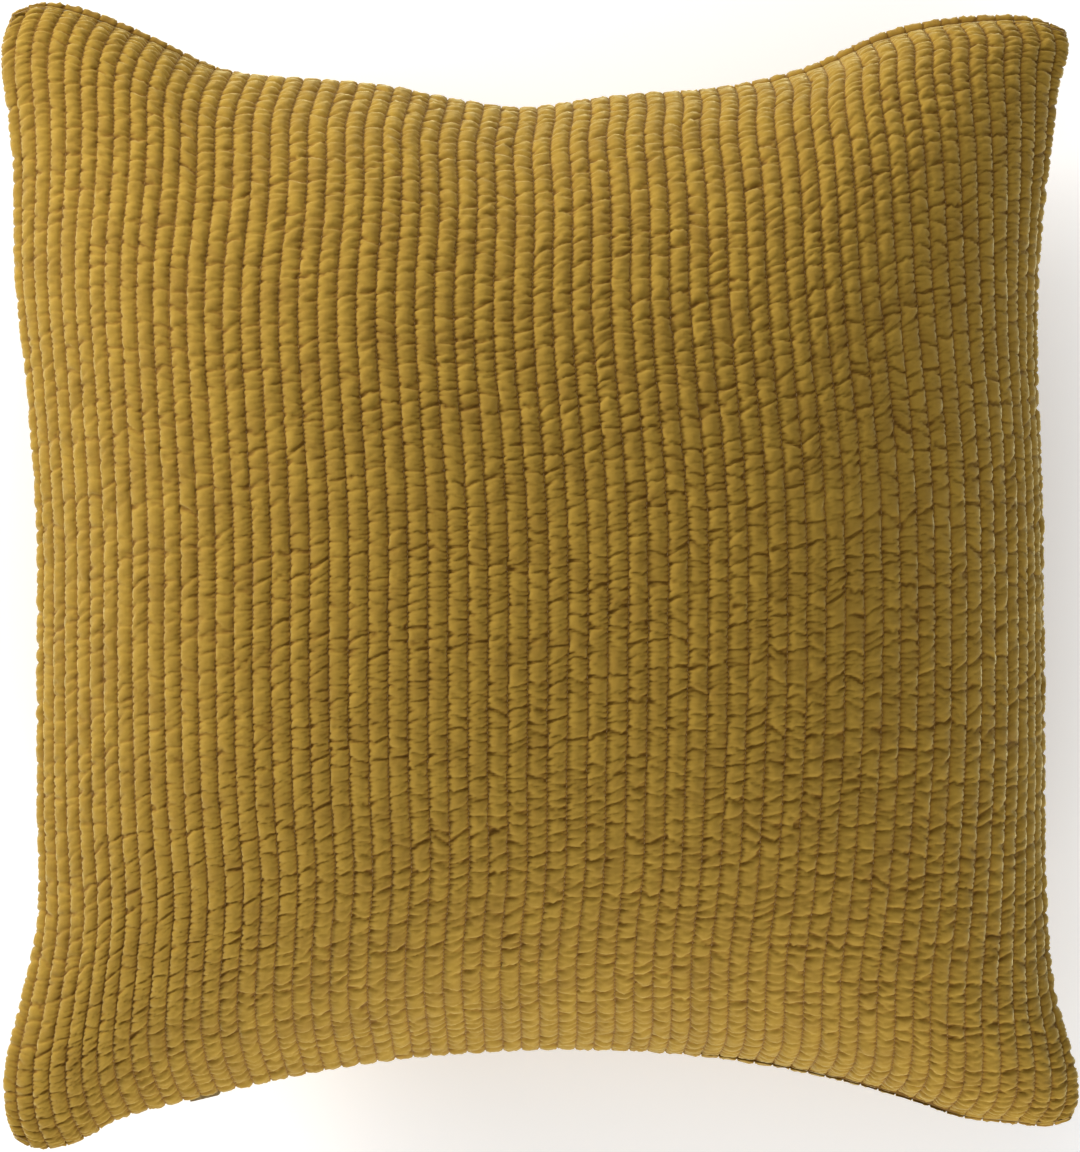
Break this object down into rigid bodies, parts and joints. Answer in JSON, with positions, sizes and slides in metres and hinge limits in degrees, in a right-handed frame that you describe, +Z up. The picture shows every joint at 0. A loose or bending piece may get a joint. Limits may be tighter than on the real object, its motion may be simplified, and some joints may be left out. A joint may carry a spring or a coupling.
{
  "type": "throw pillow",
  "caption": "Square channel-quilted velvet throw pillow with knife-edge seams, pointed rounded corners, a concealed zip in the bottom seam and a removable fibre-filled pad.",
  "frame": {"origin": "on the surface the pillow lies on, under the middle of its outline", "axes": "+Z up out of the front face, +Y along the sewn channels towards the top edge, +X to the right seen from the front; the zip is in the bottom edge at -Y"},
  "size_m": [0.4998, 0.526, 0.1694],
  "materials": {
    "velvet": "cotton velvet pile, ochre gold, channel quilted",
    "wadding": "bonded polyester wadding",
    "backing_cloth": "plain woven polycotton",
    "thread": "polyester sewing thread, ochre gold",
    "label_tape": "blank white satin tape",
    "pad_cotton": "down-proof cotton, off-white",
    "filling": "siliconised polyester fibre",
    "zip_tape": "woven polyester zip tape, ochre",
    "zip_coil": "nylon coil, ochre",
    "zip_metal": "antique brass"
  },
  "bodies": {
    "pillow": {"front_velvet": "velvet", "back_velvet": "velvet", "front_wadding": "wadding", "back_wadding": "wadding", "front_backing": "backing_cloth", "back_backing": "backing_cloth", "front_quilting_thread": "thread", "back_quilting_thread": "thread", "front_overlock_thread": "thread", "back_overlock_thread": "thread", "edge_seam_thread": "thread", "care_label": "label_tape", "pad_cover_front": "pad_cotton", "pad_cover_back": "pad_cotton", "pad_seam_thread": "pad_cotton", "pad_filling": "filling", "zip_tape_front": "zip_tape", "zip_tape_back": "zip_tape", "zip_coil_front": "zip_coil", "zip_coil_back": "zip_coil", "zip_stitching_front": "thread", "zip_stitching_back": "thread", "zip_top_stops": "zip_metal", "zip_bottom_stop": "zip_metal"},
    "slider": {"zip_slider": "zip_metal"},
    "pull": {"zip_pull": "zip_metal"}
  },
  "joints": [
    {"name": "zip_slide", "type": "hinge", "parent": "pillow", "child": "slider", "pos_m": [0, -0.78857, 0.072], "axis": [0, 0, -1], "range_deg": [0, 33.05]},
    {"name": "pull_swing", "type": "hinge", "parent": "slider", "child": "pull", "pos_m": [-0.16178, -0.24329, 0.072], "axis": [0, 0, -1], "range_deg": [0, 160]}
  ]
}
